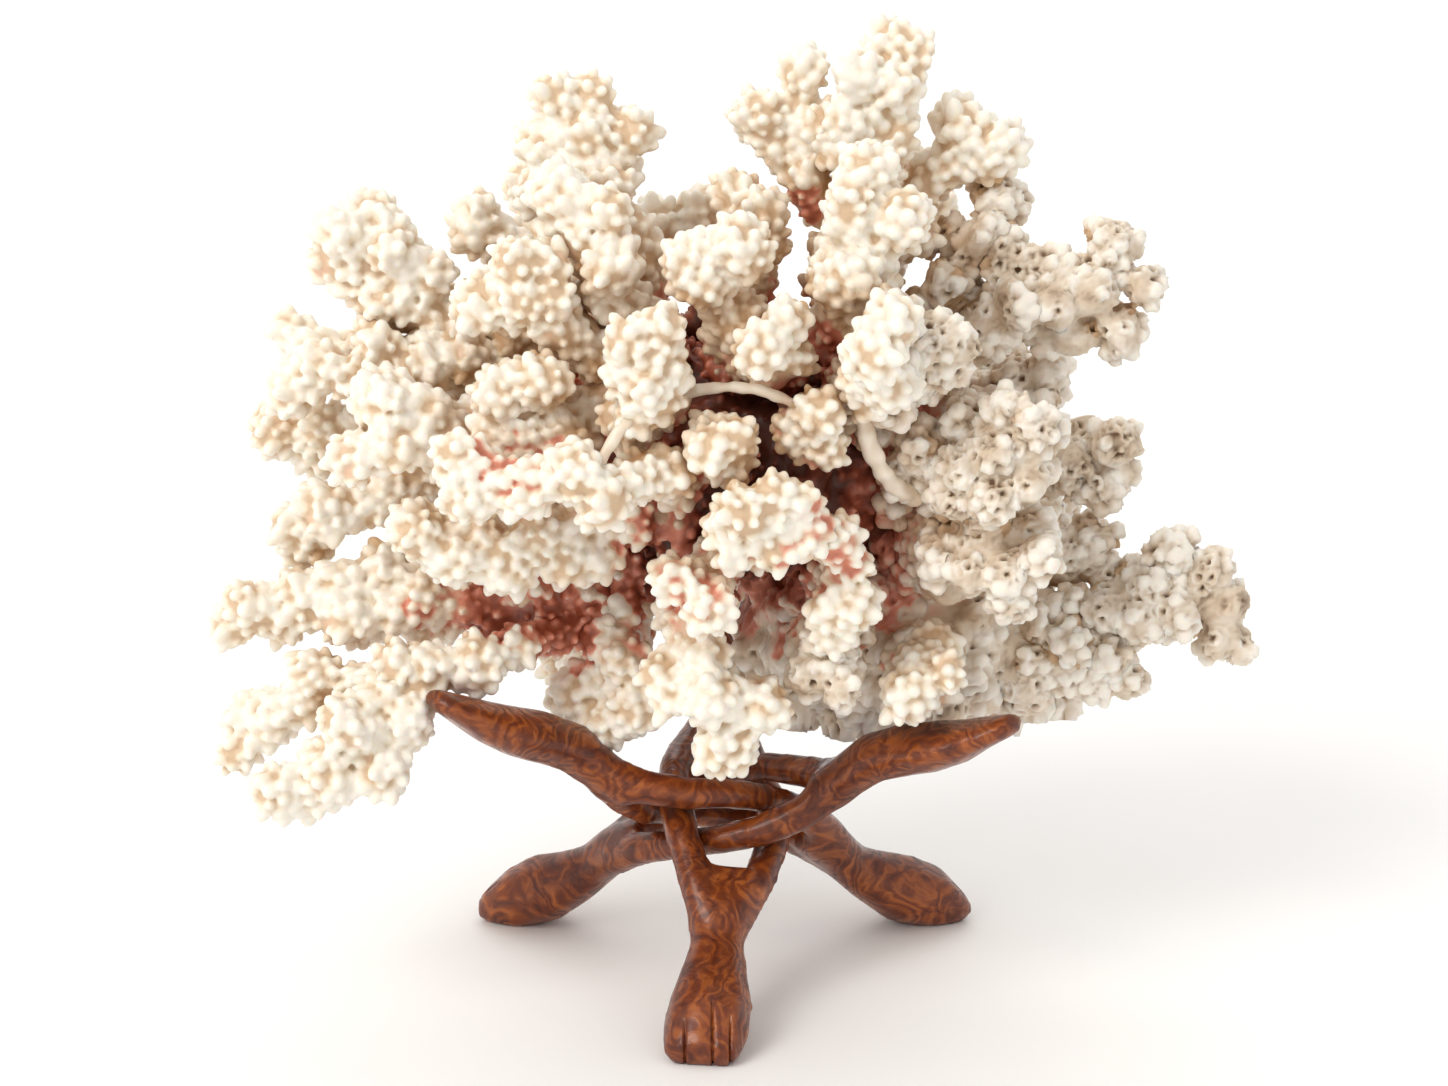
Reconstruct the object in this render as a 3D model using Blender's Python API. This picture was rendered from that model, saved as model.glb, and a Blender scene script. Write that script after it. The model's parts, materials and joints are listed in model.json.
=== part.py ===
"""A dead white coral colony on a carved wooden stand of three interlocked legs.

Units are metres, +Z is up, and the best side of the colony faces -Y. The stand's legs each rise from a
foot on the floor, open into a loop that the next leg passes through, and end in a hand that carries the
coral. The coral is one colony, split at its main forks: a base that was sawn off its rock, a core, and
the branches that grow out of them, with knobs all over.
"""

import math

import bmesh
import bpy
from mathutils import Matrix, Vector, noise
from mathutils.bvhtree import BVHTree

MM = 0.001

# The colony was measured square on to its best side, which faces forward and a little up. Places on it are
# given as across (right), up (in that slanted view plane) and back (level, away from the front).
VIEW_TILT = math.radians(17)
VIEW_HEIGHT = 157 * MM

# Coral pieces that have grown together end this far short of each other, in these tries. A sharp corner of
# a piece is kept clear by up to this many seams.
SEAM = 0.35 * MM
SEAM_TRIES = (1, 1.3, 1.7, 0.8, 2.2)
SHARPEST = 2.5
WELD = 0.02 * MM

# Stand, in millimetres in a leg's own frame: outward along its foot, minus outward along its hand, aside
# to the left of the foot's way, and up. Each leg opens into a loop of two bars; the feet stand at these angles round the axis. The front foot is
# swung a little aside and the hands are not quite level, as carved by hand.
LEG_FOOT_ANGLES = {"leg_front": -90, "leg_right": 30, "leg_left": 150}
LEG_FOOT_DRIFT = {"leg_front": -8, "leg_right": 0, "leg_left": 0}
LEG_HAND_LIFT = {"leg_front": 0, "leg_right": 5, "leg_left": -4}
FOOT_REACH = 98.5
LOOP_TO_FOOT = 56
LOOP_TO_HAND = 54
LOOP_HALF_WIDTH = 18
LOOP_TWIST = 8.8
LOOP_ROUNDNESS = 1.15
BAR_WIDTH = 12.2
BAR_THICKNESS = 9.4
BAR_THICKENING = 0.08
LIFT_START = 30
LIFT_END = 114
LEG_SIDES = 8
BAR_SIDES = 6

# The middle line of a loop, as (outward, up), and the sections of the foot and the hand, as (outward, up,
# width, thickness), in millimetres.
LOOP_MIDDLE = [(50, 30), (40, 39), (26, 49), (8, 57), (-8, 61.5), (-24, 65), (-37, 70), (-49, 78)]
FOOT = [(98.5, 3, 23.5, 11), (94, 5, 27, 16), (86, 8.5, 29.5, 23), (75, 14, 28, 24.5),
        (63, 20.5, 22.5, 19.5), (54, 26.5, 18.3, 16), (45, 35, 21.5, 15), (31, 44.5, 28, 12)]
HAND = [(-40, 71.5, 24, 14), (-49, 79, 19.5, 15), (-60, 88.5, 18, 16.5), (-71, 93.5, 22.5, 17.5),
        (-83, 97.5, 29.5, 16.5), (-95, 102, 29, 12.5), (-106, 108, 24, 8.5), (-114, 112.5, 14, 5.5)]

# Coral: the skin of a branch has a ring of corners every so often, is uneven by these shares over waves of
# this length, and is turned by a part of a corner from ring to ring.
RING_SPACING = 17.5 * MM
SIX_SIDED_RADIUS = 12
SKIN_WAVE = 24 * MM
BRANCH_UNEVENNESS = 0.16
LUMP_UNEVENNESS = 0.14
SKIN_TURN = 0.35
ROOT_DEPTH = 8 * MM
ROOT_TAPER = 0.72
TIP_LENGTH = 0.55
TIP_TAPER = 0.62

# Knobs stand on the broad faces of the skin, and nubs are drawn out of it.
KNOB_HEIGHT = 4 * MM
KNOB_WAVE = 6.25 * MM
KNOB_LEAST_FACE = 75 * MM ** 2
KNOB_LEAST_HEIGHT = 4.6 * MM
NUB_LEAST_REACH = 6 * MM
NUB_TAPER = 0.8
NUB_LEAST_FACE = 70 * MM ** 2

# The core, and the base with its sawn underside
CORE_PLACE = (10, 28, 6)
CORE_RADII = (56, 44, 40)
CORE_NUBS = [(-34, 66, 46), (22, 70, 54), (-16, 26, 70), (34, 20, 68), (8, 46, 66), (-22, -14, 40),
             (60, 44, 44)]
BASE_PLACE = (62, -30, 18)
BASE_RADII = (60, 46, 42)
BASE_CUT_HEIGHT = 87 * MM
BASE_NUBS = [(80, -34, 74), (50, -40, 70), (28, -50, 54), (104, -48, 56), (118, -30, 44), (120, -60, 20)]

# Finishes: base colour, roughness
FINISHES = {
    "carved_wood": ((0.235, 0.075, 0.03), 0.35),
    "coral_white": ((0.86, 0.79, 0.68), 0.55),
    "coral_worn": ((0.74, 0.69, 0.62), 0.75),
    "coral_red": ((0.42, 0.16, 0.11), 0.7),
}

# Each branch: its finish, the points of its middle line from root to tip as (across, up, back, radius) in
# millimetres, and the tips of its side nubs as (across, up, back).
BRANCHES = {
    "branch_left_low": ("coral_white", [(-52, -30, -14, 9), (-88, -43, -36, 8), (-122, -62, -48, 11),
                                           (-154, -92, -55, 8.5)], [(-113, -80, -50), (-134, -93, -52)]),
    "branch_left_fork": ("coral_white", [(-104, -46, -40, 7), (-138, -52, -30, 9.5), (-168, -64, -22, 8)],
                         [(-172, -78, -26)]),
    "branch_left_mid": ("coral_white", [(-48, -16, -6, 12), (-103, -23, -12, 12.5), (-141, -24, -18, 11),
                                           (-173, -29, -20, 8)], [(-118, -6, -14), (-135, -8, -14)]),
    "branch_left_upper": ("coral_white", [(-40, 38, 4, 13), (-88, 30, 2, 12), (-124, 13, -4, 10.5),
                                             (-154, 4, -6, 8)], [(-136, -6, -4)]),
    "paddle_left_near": ("coral_white", [(-66, 38, -22, 9), (-98, 38, -38, 12.5), (-116, 32, -46, 12)],
                         [(-113, 46, -44), (-126, 24, -48)]),
    "paddle_left_far": ("coral_white", [(-92, 46, 10, 8), (-128, 40, 18, 11), (-146, 30, 20, 10.5)],
                        [(-153, 41, 20)]),
    "arm_left_low": ("coral_white", [(-62, 54, -2, 12), (-108, 60, -10, 11), (-138, 57, -10, 8),
                                        (-156, 54, -6, 7)], [(-130, 45, -14)]),
    "arm_left_high": ("coral_white", [(-116, 62, 4, 7), (-138, 65, 12, 7.5), (-153, 74, 14, 7)], []),
    "tower_far_left": ("coral_white", [(-54, 62, 6, 12), (-96, 73, 0, 12.5), (-114, 90, -5, 12),
                                          (-124, 109, -4, 8)], [(-140, 98, -6), (-96, 92, -8)]),
    "twig_top_left": ("coral_white", [(-50, 82, 14, 9), (-76, 102, 16, 8.5), (-91, 115, 16, 7)],
                      [(-84, 114, 14)]),
    "tower_left": ("coral_white", [(-18, 60, 4, 13), (-36, 92, -2, 13.5), (-44, 128, -4, 12),
                                      (-58, 152, -2, 8)],
                   [(-28, 142, -6), (-29, 128, -8), (-66, 118, -4), (-65, 134, -2), (-46, 155, -4)]),
    "tower_left_front": ("coral_white", [(-24, 62, -26, 11), (-42, 92, -34, 11.5), (-51, 116, -32, 8.5)],
                         [(-34, 104, -42)]),
    "cluster_left_high": ("coral_white", [(-36, 52, -26, 11), (-58, 74, -42, 11.5), (-70, 90, -44, 9)],
                          [(-58, 88, -48), (-80, 76, -40)]),
    "cluster_left_mid": ("coral_white", [(-38, 36, -26, 12), (-62, 38, -46, 13), (-82, 33, -52, 9)],
                         [(-66, 54, -52)]),
    "cluster_centre_left": ("coral_white", [(-20, 40, -34, 11), (-26, 48, -62, 12.5), (-19, 70, -74, 9)],
                            [(-34, 62, -70), (-30, 36, -74)]),
    "tower_top_back": ("coral_white", [(-4, 72, 22, 11), (-8, 100, 32, 11), (-12, 120, 34, 9.5)],
                       [(-22, 112, 30), (2, 116, 36)]),
    "tower_top_mid": ("coral_white", [(8, 66, -6, 12), (8, 96, -14, 11), (5, 118, -14, 8)],
                      [(20, 108, -20)]),
    "cluster_top_front": ("coral_white", [(4, 58, -28, 11), (-2, 84, -46, 11), (-8, 98, -48, 8.5)],
                          [(12, 92, -54), (-18, 84, -52)]),
    "tower_right": ("coral_white", [(36, 66, 2, 14), (47, 106, -4, 13), (51, 146, -5, 11),
                                       (61, 173, -5, 7)],
                    [(41, 158, -6), (68, 160, -8), (38, 136, -10), (65, 140, -6)]),
    "tower_right_left_arm": ("coral_white", [(38, 108, 0, 9), (26, 130, 2, 9), (19, 148, 2, 7)],
                             [(14, 140, 0), (28, 152, 2)]),
    "tower_right_right_arm": ("coral_white", [(54, 92, 6, 9), (68, 118, 6, 9), (79, 132, 4, 8),
                                                 (88, 142, 4, 6.5)], [(93, 129, 2)]),
    "tower_right_front": ("coral_white", [(42, 62, -22, 13), (46, 92, -40, 13), (49, 121, -42, 9)],
                          [(38, 108, -52), (58, 104, -48), (40, 82, -56)]),
    "stalk_right": ("coral_worn", [(60, 62, 4, 11), (82, 92, 4, 9.5), (97, 122, 4, 7)],
                    [(88, 104, -6), (80, 106, 8)]),
    "arm_right_top": ("coral_worn", [(70, 58, -4, 12), (106, 82, -6, 13), (130, 89, -6, 12)],
                      [(132, 102, -4), (141, 86, -8), (127, 73, -8), (104, 98, -6)]),
    "arm_right_upper": ("coral_worn", [(68, 42, 8, 12), (98, 50, 12, 11), (112, 60, 12, 8)], []),
    "arm_right_mid": ("coral_worn", [(66, 22, 12, 12), (112, 28, 10, 11), (138, 38, 6, 7.5)],
                      [(138, 20, 2), (126, 14, 6)]),
    "arm_right_inner": ("coral_worn", [(74, 2, 6, 13), (116, -4, 8, 11), (138, -9, 8, 8)], []),
    "arm_right_low": ("coral_worn", [(92, -30, 2, 12), (126, -30, -5, 12.5), (152, -19, -6, 13),
                                        (170, -22, -8, 11), (179, -37, -10, 9)], [(160, -6, -8)]),
    "stub_right_low": ("coral_worn", [(100, -42, -10, 11), (126, -46, -12, 11), (142, -48, -12, 9)], []),
    "boss_right_high": ("coral_worn", [(44, 42, -28, 13), (62, 54, -54, 13), (72, 66, -60, 11)],
                        [(60, 70, -64), (84, 58, -58)]),
    "boss_right_mid": ("coral_worn", [(60, 22, -24, 15), (86, 26, -50, 15), (106, 34, -56, 12)],
                       [(98, 12, -64), (96, 46, -58)]),
    "boss_right_low": ("coral_worn", [(66, -6, -14, 14), (86, -4, -46, 14), (101, -16, -56, 10.5)],
                       [(112, 0, -48)]),
    "knob_low_pitted": ("coral_worn", [(36, -22, -16, 11), (34, -38, -44, 12), (36, -48, -60, 11)], []),
    "knob_low_mid": ("coral_white", [(66, -36, -10, 12), (68, -46, -40, 12), (66, -52, -54, 11.5)],
                     [(78, -44, -58)]),
    "cluster_bottom_front": ("coral_white", [(-8, -8, -22, 12), (-12, -36, -50, 13), (-2, -54, -62, 12),
                                                (6, -72, -64, 8)], [(-24, -54, -60), (16, -58, -62)]),
    "hanging_twig": ("coral_white", [(-34, -12, -8, 11), (-38, -44, -16, 9), (-40, -62, -18, 6.5)],
                     [(-54, -50, -12), (-26, -56, -24)]),
    "front_low": ("coral_white", [(2, 0, -34, 10), (-8, -16, -66, 10.5), (-11, -22, -78, 9)],
                  [(-20, -8, -72)]),
    "front_mid": ("coral_white", [(18, 8, -36, 12), (13, 0, -68, 12.5), (17, 14, -84, 10)],
                  [(2, -4, -82), (28, 8, -78)]),
    "front_upper": ("coral_white", [(6, 26, -38, 10), (0, 28, -66, 11.5), (-2, 31, -78, 9.5)], []),
    "front_right": ("coral_white", [(28, 32, -34, 11), (28, 34, -54, 12), (28, 40, -64, 9.5)],
                    [(38, 26, -62)]),
    "front_column": ("coral_white", [(36, -8, -28, 10), (36, -12, -52, 9.5), (37, 4, -66, 8)],
                     [(38, -26, -62)]),
    "front_high_right": ("coral_white", [(44, 46, -30, 10), (50, 52, -74, 11), (51, 68, -82, 10)], []),
    "front_high_mid": ("coral_white", [(20, 54, -32, 10), (20, 62, -58, 10), (8, 62, -68, 8.5)],
                       [(26, 76, -62)]),
    "long_upper": ("coral_white", [(-6, 22, -32, 9), (-26, 18, -72, 9.5), (-58, 17, -80, 10),
                                      (-92, 19, -74, 8)], [(-78, 8, -78), (-84, 32, -74)]),
    "long_lower": ("coral_white", [(-28, 6, -30, 10), (-58, -2, -46, 10), (-86, -4, -50, 11),
                                      (-106, 1, -48, 8.5)], [(-72, -16, -54)]),
    "back_high_left": ("coral_white", [(-30, 62, 26, 13), (-58, 104, 56, 12), (-70, 128, 66, 8)],
                       [(-76, 108, 62), (-50, 124, 60), (-40, 92, 62)]),
    "back_high_right": ("coral_white", [(34, 64, 26, 13), (56, 108, 56, 12), (66, 136, 66, 8)],
                        [(76, 116, 60), (44, 128, 62), (38, 98, 62)]),
    "back_high_mid": ("coral_white", [(2, 66, 30, 12), (-2, 96, 66, 12), (-6, 114, 90, 9)],
                      [(14, 108, 80), (-20, 104, 78)]),
    "back_left": ("coral_white", [(-34, 34, 28, 13), (-80, 48, 62, 13), (-112, 62, 78, 9)],
                  [(-92, 70, 72), (-104, 44, 82), (-62, 60, 64)]),
    "back_mid": ("coral_white", [(0, 40, 32, 14), (-4, 60, 84, 13), (-8, 84, 110, 9)],
                 [(12, 82, 104), (-24, 72, 102), (16, 56, 90)]),
    "back_right": ("coral_worn", [(48, 32, 28, 13), (88, 50, 62, 13), (118, 62, 76, 9)],
                   [(104, 36, 82), (94, 76, 70), (66, 58, 66)]),
    "back_low_left": ("coral_white", [(-36, 10, 22, 12), (-74, -2, 56, 12), (-102, 4, 82, 9)],
                      [(-88, 14, 78), (-94, -12, 66), (-54, 10, 56)]),
    "back_low_mid": ("coral_white", [(6, 6, 34, 13), (4, 0, 76, 12), (6, 8, 110, 9)],
                     [(-12, 8, 100), (22, 12, 98), (0, -18, 78)]),
    "back_low_right": ("coral_worn", [(76, -2, 40, 14), (104, 4, 68, 12), (126, 14, 88, 9)],
                       [(128, -4, 80), (92, 20, 72)]),
    "back_under_left": ("coral_white", [(-24, -8, 18, 11), (-46, -30, 40, 12), (-58, -42, 62, 9)],
                        [(-66, -28, 50), (-38, -48, 50)]),
}


def place(across, up, back):
    """The point of a place measured in the slanted view plane, given in millimetres."""
    height = VIEW_HEIGHT + (up - back * math.sin(VIEW_TILT)) / math.cos(VIEW_TILT) * MM
    return Vector((across * MM, back * MM, height))


def smooth_run(values, step):
    """Points about one step apart on a smooth curve through the given (point, radius) pairs."""
    first = values[0]
    last = values[-1]
    ends = [(2 * first[0] - values[1][0], first[1])] + values + [(2 * last[0] - values[-2][0], last[1])]
    run = []
    for before, start, end, after in zip(ends, ends[1:], ends[2:], ends[3:]):
        count = max(1, round((end[0] - start[0]).length / step))
        for k in range(count):
            t = k / count
            point = 0.5 * (2 * start[0] + (end[0] - before[0]) * t
                           + (2 * before[0] - 5 * start[0] + 4 * end[0] - after[0]) * t ** 2
                           + (3 * start[0] - before[0] - 3 * end[0] + after[0]) * t ** 3)
            run.append((point, start[1] + (end[1] - start[1]) * t))
    run.append(last)
    return run


def ring(bm, centre, side, lift, sides):
    """The edges of one elliptical section whose half axes are the vectors side and lift."""
    turn = Matrix((side, lift, side.cross(lift).normalized())).transposed().to_4x4()
    made = bmesh.ops.create_circle(bm, segments=sides, radius=1, matrix=Matrix.Translation(centre) @ turn)
    return list(dict.fromkeys(edge for vert in made["verts"] for edge in vert.link_edges))


def loft(bm, sections, sides):
    """A closed skin through sections given as (centre, side, lift)."""
    rings = [ring(bm, *section, sides) for section in sections]
    for lower, upper in zip(rings, rings[1:]):
        bmesh.ops.bridge_loops(bm, edges=lower + upper)
    for end in (rings[0], rings[-1]):
        bmesh.ops.contextual_create(bm, geom=end)
    bmesh.ops.recalc_face_normals(bm, faces=bm.faces)


def new_object(name, bm, finish, collection):
    mesh = bpy.data.meshes.new(name)
    bm.to_mesh(mesh)
    bm.free()
    obj = bpy.data.objects.new(name, mesh)
    collection.objects.link(obj)
    mesh.materials.append(finish)
    return obj


# The stand

def middle_path(run):
    """The path of a foot or a hand, which keeps to the leg's middle plane."""
    return [(out, up, 0, width, thickness) for out, up, width, thickness in run]


def leg_sections(path, name):
    """Sections square to a path of (outward, height, aside, width, thickness) in millimetres."""
    points = []
    for out, up, aside, _, _ in path:
        drift = LEG_FOOT_DRIFT[name] * max(0, out / FOOT_REACH) ** 2
        lift = LEG_HAND_LIFT[name] * max(0, (-out - LIFT_START) / (LIFT_END - LIFT_START))
        points.append(Vector((out, aside + drift, up + lift)) * MM)
    sections = []
    for k, (point, (_, _, _, width, thickness)) in enumerate(zip(points, path)):
        along = points[min(k + 1, len(path) - 1)] - points[max(k - 1, 0)]
        side = Vector((0, 0, 1)).cross(along).normalized()
        lift = along.normalized().cross(side)
        sections.append((point, side * width / 2 * MM, lift * thickness / 2 * MM))
    return sections


def loop_bar(side):
    """The path of one bar of a leg's loop: side -1 is the bar that rides high, 1 the one that dips low."""
    path = []
    for out, up in LOOP_MIDDLE:
        share = out / (LOOP_TO_FOOT if out > 0 else LOOP_TO_HAND)
        bulge = (1 - share ** 2) ** LOOP_ROUNDNESS
        path.append((out, up - side * LOOP_TWIST * bulge, side * LOOP_HALF_WIDTH * bulge,
                     BAR_WIDTH, BAR_THICKNESS + BAR_THICKENING * abs(out)))
    return path


def leg(name, collection, finish):
    """One leg: foot and shank, wrist and hand, and the two bars of the loop, joined in one solid."""
    turn = Matrix.Rotation(math.radians(LEG_FOOT_ANGLES[name]), 4, "Z")
    paths = [(middle_path(FOOT), LEG_SIDES), (middle_path(HAND), LEG_SIDES),
             (loop_bar(-1), BAR_SIDES), (loop_bar(1), BAR_SIDES)]
    pieces = []
    for number, (path, sides) in enumerate(paths):
        bm = bmesh.new()
        loft(bm, leg_sections(path, name), sides)
        if number == 0:
            cut_level(bm, 0)
        bmesh.ops.transform(bm, matrix=turn, verts=bm.verts)
        pieces.append(new_object(f"{name}_piece_{number}", bm, finish, collection))
    whole = pieces[0]
    for other in pieces[1:]:
        boolean(whole, other, "UNION")
        bpy.data.objects.remove(other)
    whole.name = whole.data.name = name
    return whole


def cut_level(bm, height):
    """Saws off what is below a height and closes the cut with one flat face."""
    cut = bmesh.ops.bisect_plane(bm, geom=bm.verts[:] + bm.edges[:] + bm.faces[:],
                                 plane_co=(0, 0, height), plane_no=(0, 0, -1), clear_outer=True)
    rim = [item for item in cut["geom_cut"] if isinstance(item, bmesh.types.BMEdge)]
    bmesh.ops.contextual_create(bm, geom=rim)


def boolean(obj, other, operation, solver="EXACT"):
    """Applies a Boolean of obj with other."""
    modifier = obj.modifiers.new("join", "BOOLEAN")
    modifier.object = other
    modifier.operation = operation
    modifier.solver = solver
    modifier.use_self = True
    bpy.context.view_layer.update()
    mesh = bpy.data.meshes.new_from_object(obj.evaluated_get(bpy.context.evaluated_depsgraph_get()))
    obj.modifiers.clear()
    old = obj.data
    obj.data = mesh
    bpy.data.meshes.remove(old)
    mesh.name = obj.name


# The coral

def grow_branch(name, collection, finish):
    """A branch: a round skin along a smooth middle line, with its side nubs drawn out of the skin."""
    _, middle, nubs = BRANCHES[name]
    sides = 6 if max(spot[3] for spot in middle) >= SIX_SIDED_RADIUS else 5
    run = smooth_run([(place(*spot[:3]), spot[3] * MM) for spot in middle], RING_SPACING)
    run[0] = (run[0][0], run[0][1] * ROOT_TAPER)
    root_way = (run[1][0] - run[0][0]).normalized()
    run.insert(0, (run[0][0] - root_way * ROOT_DEPTH, run[0][1]))
    tip_way = (run[-1][0] - run[-2][0]).normalized()
    run.append((run[-1][0] + tip_way * run[-1][1] * TIP_LENGTH, run[-1][1] * TIP_TAPER))
    side = root_way.orthogonal().normalized()
    sections = []
    for k, (point, radius) in enumerate(run):
        way = (run[min(k + 1, len(run) - 1)][0] - run[max(k - 1, 0)][0]).normalized()
        side = (side - way * side.dot(way)).normalized()
        side = Matrix.Rotation(math.tau / sides * SKIN_TURN, 3, way) @ side
        wave = 1 + BRANCH_UNEVENNESS * noise.noise(point / SKIN_WAVE)
        sections.append((point, side * radius * wave, way.cross(side) * radius * wave))
    bm = bmesh.new()
    loft(bm, sections, sides)
    for nub in nubs:
        draw_nub(bm, place(*nub))
    raise_knobs(bm)
    return new_object(name, bm, finish, collection)


def draw_nub(bm, tip):
    """Pulls the face of the skin that is nearest to tip out to it, tapering."""
    broad = [f for f in bm.faces if f.calc_area() > NUB_LEAST_FACE]
    face = min(broad, key=lambda f: (f.calc_center_median() - tip).length)
    reach = tip - face.calc_center_median()
    reach += face.normal * max(0, NUB_LEAST_REACH - reach.dot(face.normal))
    drawn = bmesh.ops.extrude_discrete_faces(bm, faces=[face])["faces"][0]
    bmesh.ops.translate(bm, vec=reach, verts=drawn.verts)
    centre = drawn.calc_center_median()
    bmesh.ops.scale(bm, vec=(NUB_TAPER,) * 3, space=Matrix.Translation(-centre), verts=drawn.verts)


def raise_knobs(bm):
    """Raises a pointed knob on the skin's broad faces, of uneven heights, and leaves out the low ones."""
    knobs = []
    bm.normal_update()
    for face in bm.faces:
        height = KNOB_HEIGHT * (1 + noise.noise(face.calc_center_median() / KNOB_WAVE))
        if face.calc_area() > KNOB_LEAST_FACE and height > KNOB_LEAST_HEIGHT:
            knobs.append((face, height))
    for face, height in knobs:
        bmesh.ops.poke(bm, faces=[face], offset=height)
    bmesh.ops.triangulate(bm, faces=[face for face in bm.faces if len(face.verts) > 3])


def lump(centre, radii, nubs):
    """A rounded mass, uneven all over, with nubs drawn out of it."""
    bm = bmesh.new()
    size = Matrix.Diagonal((*[r * MM for r in radii], 1))
    bmesh.ops.create_icosphere(bm, subdivisions=2, radius=1, matrix=Matrix.Translation(place(*centre)) @ size)
    for vert in bm.verts:
        vert.co += (vert.co - place(*centre)) * LUMP_UNEVENNESS * noise.noise(vert.co / SKIN_WAVE)
    bm.normal_update()
    for nub in nubs:
        draw_nub(bm, place(*nub))
    return bm


def swollen_copy(obj, width, collection):
    """A copy of obj grown by width all over, to cut its neighbours with."""
    bm = bmesh.new()
    bm.from_mesh(obj.data)
    bm.normal_update()
    moves = [(vert, vert.normal * width * min(vert.calc_shell_factor(), SHARPEST)) for vert in bm.verts]
    for vert, move in moves:
        vert.co += move
    return new_object("cutter", bm, obj.data.materials[0], collection)


def tree_of(obj):
    bm = bmesh.new()
    bm.from_mesh(obj.data)
    tree = BVHTree.FromBMesh(bm)
    bm.free()
    return tree


def keep_largest(obj):
    """Leaves only the biggest connected part of a mesh, with its shortest edges welded."""
    bm = bmesh.new()
    bm.from_mesh(obj.data)
    bmesh.ops.dissolve_degenerate(bm, dist=WELD, edges=bm.edges)
    bmesh.ops.remove_doubles(bm, verts=bm.verts, dist=WELD)
    left = set(bm.faces)
    islands = []
    while left:
        front = [left.pop()]
        island = set(front)
        while front:
            for edge in front.pop().edges:
                near = left.intersection(edge.link_faces)
                left -= near
                island |= near
                front.extend(near)
        islands.append(island)
    largest = max(islands, key=len)
    bmesh.ops.delete(bm, geom=[face for face in bm.faces if face not in largest], context="FACES")
    bmesh.ops.delete(bm, geom=[edge for edge in bm.edges if not edge.link_faces], context="EDGES")
    bm.to_mesh(obj.data)
    bm.free()


def is_closed(obj):
    bm = bmesh.new()
    bm.from_mesh(obj.data)
    closed = all(len(edge.link_faces) == 2 for edge in bm.edges)
    bm.free()
    return closed


def cut_seams(pieces, collection):
    """Where two pieces have grown together, the later one stops a seam's width short of the earlier one.

    A cut that would leave an open edge is made again in another way, then with a wider seam."""
    ways = [(SEAM * share, solver) for share in SEAM_TRIES for solver in ("EXACT", "MANIFOLD")]
    for number, piece in enumerate(pieces):
        for earlier in pieces[:number]:
            uncut = piece.data.copy()
            for width, solver in ways:
                cutter = swollen_copy(earlier, width, collection)
                if tree_of(piece).overlap(tree_of(cutter)):
                    boolean(piece, cutter, "DIFFERENCE", solver)
                    keep_largest(piece)
                bpy.data.objects.remove(cutter)
                if is_closed(piece) and not tree_of(piece).overlap(tree_of(earlier)):
                    break
                piece.data = uncut.copy()
            else:
                raise RuntimeError(f"no clean cut of {piece.name} by {earlier.name}")


def finish_of(name):
    colour, roughness = FINISHES[name]
    material = bpy.data.materials.new(name)
    material.use_nodes = True
    shader = material.node_tree.nodes["Principled BSDF"]
    shader.inputs["Base Color"].default_value = (*colour, 1)
    shader.inputs["Roughness"].default_value = roughness
    shader.inputs["Metallic"].default_value = 0
    return material


def stand_at_origin(objects):
    """Moves everything so that the origin is under the middle of the whole, on the floor."""
    corners = [obj.matrix_world @ vert.co for obj in objects for vert in obj.data.vertices]
    low = Vector([min(c[k] for c in corners) for k in range(3)])
    high = Vector([max(c[k] for c in corners) for k in range(3)])
    shift = Matrix.Translation((-(low.x + high.x) / 2, -(low.y + high.y) / 2, -low.z))
    for obj in objects:
        obj.data.transform(shift)


def build():
    for obj in list(bpy.data.objects):
        bpy.data.objects.remove(obj)
    collection = bpy.data.collections.new("coral_specimen_on_stand")
    bpy.context.scene.collection.children.link(collection)
    finishes = {name: finish_of(name) for name in FINISHES}
    legs = [leg(name, collection, finishes["carved_wood"]) for name in LEG_FOOT_ANGLES]
    base_skin = lump(BASE_PLACE, BASE_RADII, BASE_NUBS)
    cut_level(base_skin, BASE_CUT_HEIGHT)
    base = new_object("coral_base", base_skin, finishes["coral_worn"], collection)
    core_skin = lump(CORE_PLACE, CORE_RADII, CORE_NUBS)
    core = new_object("coral_core", core_skin, finishes["coral_red"], collection)
    branches = [grow_branch(name, collection, finishes[row[0]]) for name, row in BRANCHES.items()]
    cut_seams(legs + [base, core] + branches, collection)
    stand_at_origin(legs + [base, core] + branches)


build()
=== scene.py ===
"""The looks of a dead white coral colony on a carved wooden stand of three interlocked legs."""

import json
import math

import bmesh
import bpy
import numpy as np
from mathutils import Matrix, Vector, noise
from mathutils.bvhtree import BVHTree
from mathutils.geometry import interpolate_bezier
from mathutils.kdtree import KDTree


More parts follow.
